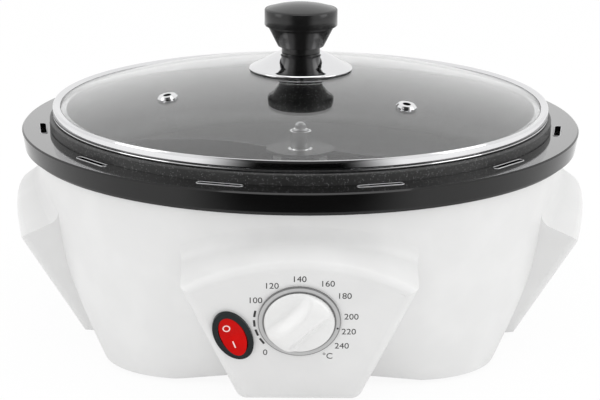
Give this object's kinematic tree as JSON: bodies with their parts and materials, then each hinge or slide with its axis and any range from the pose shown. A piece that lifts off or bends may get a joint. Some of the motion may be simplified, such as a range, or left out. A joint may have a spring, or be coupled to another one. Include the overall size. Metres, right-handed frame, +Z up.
{
  "type": "home coffee bean roaster",
  "caption": "Round countertop coffee bean roaster: white bowl on four wings, black vented ring, coated pan with turning stirrer, lift-off glass lid, dial and rocker switch.",
  "frame": {"origin": "under the middle of the box round the whole part, at the height of the soles of its rubber feet; the shaft stands 5 mm behind it", "axes": "+Z up along the stirrer's shaft, front with the controls towards -Y, +X to the right of someone who faces the controls"},
  "size_m": [0.3224, 0.3333, 0.1888],
  "materials": {
    "body_white": "moulded white plastic, satin gloss",
    "base_black": "moulded black plastic",
    "steel": "plain steel",
    "feet_rubber": "matt black rubber",
    "ring_black": "polished black plastic",
    "pan_coat": "speckled non-stick coating",
    "brass_bush": "plain brass",
    "heater_metal": "dark oxidised tube",
    "shield_metal": "plain sheet",
    "motor_metal": "plated steel",
    "thermostat_grey": "moulded phenolic",
    "dial_grey": "matt grey plastic",
    "switch_charcoal": "charcoal plastic",
    "stirrer_steel": "darkened steel",
    "chrome_bright": "bright chrome",
    "dial_white": "moulded white plastic",
    "rocker_red": "clear red plastic",
    "lid_glass": "clear tempered glass",
    "rim_steel": "rolled polished steel",
    "knob_black": "black phenolic"
  },
  "bodies": {
    "base": {"housing": "body_white", "base_plate": "base_black", "base_screws": "steel", "rubber_feet": "feet_rubber", "top_ring": "ring_black", "pan": "pan_coat", "shaft_bush": "brass_bush", "heating_element": "heater_metal", "heat_shield": "shield_metal", "pan_studs": "steel", "shield_nuts": "steel", "motor_can": "motor_metal", "gearbox": "motor_metal", "thermostat": "thermostat_grey", "dial_ring": "dial_grey", "switch_body": "switch_charcoal", "cord_grommet": "feet_rubber"},
    "stirrer": {"drive_shaft": "steel", "stirrer": "stirrer_steel", "stirrer_washer": "steel", "stirrer_nut": "chrome_bright"},
    "dial": {"dial_knob": "dial_white", "thermostat_shaft": "steel"},
    "rocker": {"rocker": "rocker_red"},
    "lid": {"lid_glass": "lid_glass", "lid_rim": "rim_steel", "vent_eyelets": "chrome_bright", "lid_disc": "chrome_bright", "lid_knob": "knob_black", "lid_screw": "steel", "lid_washer": "feet_rubber"}
  },
  "joints": [
    {"name": "stirrer_turn", "type": "hinge", "parent": "base", "child": "stirrer", "pos_m": [0, 0.005, 0.1], "axis": [0, 0, 1], "continuous": true},
    {"name": "dial_turn", "type": "hinge", "parent": "base", "child": "dial", "pos_m": [0, -0.14804, 0.0497], "axis": [0, 0.9568, 0.2908], "range_deg": [0, 253]},
    {"name": "rocker_tilt", "type": "hinge", "parent": "base", "child": "rocker", "pos_m": [-0.0341, -0.14545, 0.0412], "axis": [0.9205, -0.1136, 0.3738], "range_deg": [0, 14]},
    {"name": "lid_lift", "type": "slide", "parent": "base", "child": "lid", "axis": [0, 0, 1], "range_m": [0, 0.12]}
  ]
}
